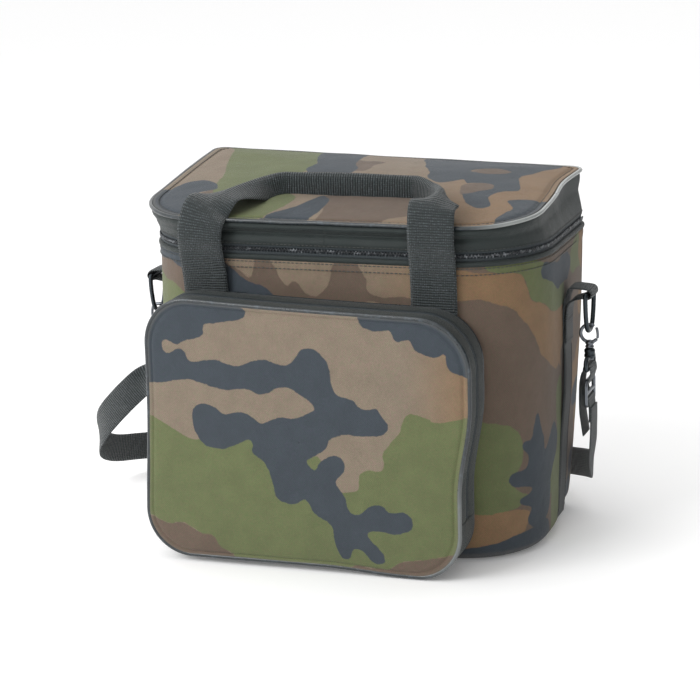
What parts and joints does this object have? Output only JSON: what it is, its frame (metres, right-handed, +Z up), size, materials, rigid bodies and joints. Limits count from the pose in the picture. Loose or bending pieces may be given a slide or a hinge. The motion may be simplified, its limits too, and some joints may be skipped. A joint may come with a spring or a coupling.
{
  "type": "insulated cooler bag",
  "caption": "Soft insulated cooler bag in camouflage fabric with a zipped hinged lid, zipped front pocket, webbing carrying handles and a clip-on shoulder strap.",
  "frame": {"origin": "centre of the flat base, on the surface the bag stands on", "axes": "+Z up, the pocket faces -Y, +X to the right as seen from the front"},
  "size_m": [0.4665, 0.3072, 0.3085],
  "materials": {
    "camo_fabric": "woven camouflage polyester, matt",
    "black_fabric": "coated black polyester, slight sheen",
    "black_webbing": "ribbed polypropylene webbing",
    "piping": "semi-gloss covered cord",
    "foil_liner": "silver film",
    "foam": "closed-cell foam",
    "base_board": "matt sheet",
    "zip_coil": "nylon coil on woven tape",
    "nickel_hardware": "nickel plate",
    "black_plastic": "moulded, satin"
  },
  "bodies": {
    "root": {"body_wrap": "camo_fabric", "back_panel": "camo_fabric", "bottom_panel": "black_fabric", "base_board": "base_board", "insulation_tub": "foam", "liner_tub": "foil_liner", "rim_binding": "black_fabric", "main_zip_lower": "zip_coil", "pocket_gusset": "black_fabric", "pocket_zip_rear": "zip_coil", "front_leg_left": "black_webbing", "front_leg_right": "black_webbing", "rear_leg_left": "black_webbing", "rear_leg_right": "black_webbing", "left_side_webbing": "black_webbing", "right_side_webbing": "black_webbing", "shoulder_strap": "black_webbing"},
    "lid": {"lid_panel": "camo_fabric", "lid_piping": "piping", "lid_band": "black_fabric", "lid_foam": "foam", "lid_liner": "foil_liner", "lid_hinge_strip": "black_fabric", "main_zip_upper": "zip_coil"},
    "front_handle": {"front_handle": "black_webbing"},
    "rear_handle": {"rear_handle": "black_webbing"},
    "pocket_flap": {"pocket_panel": "camo_fabric", "pocket_piping": "piping", "pocket_gusset_front": "black_fabric", "pocket_zip_front": "zip_coil"},
    "main_slider": {"main_slider": "zip_coil"},
    "main_pull": {"main_pull": "zip_coil"},
    "pocket_slider": {"pocket_slider": "zip_coil"},
    "pocket_pull": {"pocket_pull": "zip_coil"},
    "left_ring": {"left_ring": "nickel_hardware", "left_eye": "nickel_hardware"},
    "left_hook": {"left_hook": "nickel_hardware"},
    "left_gate": {"left_gate": "nickel_hardware"},
    "right_ring": {"right_ring": "nickel_hardware", "right_eye": "nickel_hardware", "strap_return": "black_webbing"},
    "right_hook": {"right_hook": "nickel_hardware"},
    "right_gate": {"right_gate": "nickel_hardware"},
    "strap_adjuster": {"strap_adjuster": "black_plastic"}
  },
  "joints": [
    {"name": "lid_hinge", "type": "hinge", "parent": "root", "child": "lid", "pos_m": [0, 0.1025, 0.254], "axis": [-1, 0, 0], "range_deg": [0, 105]},
    {"name": "front_handle_swing", "type": "hinge", "parent": "root", "child": "front_handle", "pos_m": [0, -0.1055, 0.2505], "axis": [1, 0, 0], "range_deg": [0, 120]},
    {"name": "rear_handle_swing", "type": "hinge", "parent": "root", "child": "rear_handle", "pos_m": [0, 0.1055, 0.2445], "axis": [-1, 0, 0], "range_deg": [-175, 0]},
    {"name": "pocket_flap_hinge", "type": "hinge", "parent": "root", "child": "pocket_flap", "pos_m": [-0.011, -0.141, 0.006], "axis": [1, 0, 0], "range_deg": [0, 70]},
    {"name": "main_zip_slide", "type": "slide", "parent": "root", "child": "main_slider", "axis": [0, -1, 0], "range_m": [0, 0.08]},
    {"name": "main_pull_hinge", "type": "hinge", "parent": "main_slider", "child": "main_pull", "pos_m": [-0.1725, 0.05, 0.25885], "axis": [0, 1, 0], "range_deg": [0, 90]},
    {"name": "pocket_zip_slide", "type": "slide", "parent": "root", "child": "pocket_slider", "axis": [0, 0, 1], "range_m": [0, 0.1]},
    {"name": "pocket_pull_hinge", "type": "hinge", "parent": "pocket_slider", "child": "pocket_pull", "pos_m": [-0.152, -0.122, 0.06625], "axis": [0, 1, 0], "range_deg": [0, 90]},
    {"name": "left_ring_swing", "type": "hinge", "parent": "root", "child": "left_ring", "pos_m": [-0.1945, 0.012, 0.206], "axis": [0, 1, 0], "range_deg": [-5, 60]},
    {"name": "left_hook_swivel", "type": "hinge", "parent": "left_ring", "child": "left_hook", "pos_m": [-0.1945, 0.012, 0.1711], "axis": [0, 0, 1], "range_deg": [-20, 20]},
    {"name": "left_gate_hinge", "type": "hinge", "parent": "left_hook", "child": "left_gate", "pos_m": [-0.20118, 0.012, 0.1677], "axis": [0, 1, 0], "range_deg": [0, 12], "stiffness_Nm_per_rad": 0.02, "springref_deg": -17.19},
    {"name": "right_ring_swing", "type": "hinge", "parent": "root", "child": "right_ring", "pos_m": [0.1885, 0.012, 0.206], "axis": [0, -1, 0], "range_deg": [-5, 60]},
    {"name": "right_hook_swivel", "type": "hinge", "parent": "right_ring", "child": "right_hook", "pos_m": [0.1885, 0.012, 0.1711], "axis": [0, 0, 1], "range_deg": [-20, 20]},
    {"name": "right_gate_hinge", "type": "hinge", "parent": "right_hook", "child": "right_gate", "pos_m": [0.19518, 0.012, 0.1677], "axis": [0, -1, 0], "range_deg": [0, 12], "stiffness_Nm_per_rad": 0.02, "springref_deg": -17.19},
    {"name": "strap_adjuster_slide", "type": "slide", "parent": "right_ring", "child": "strap_adjuster", "axis": [0, 0, 1], "range_m": [-0.03, 0], "deforming": ["shoulder_strap"]}
  ]
}
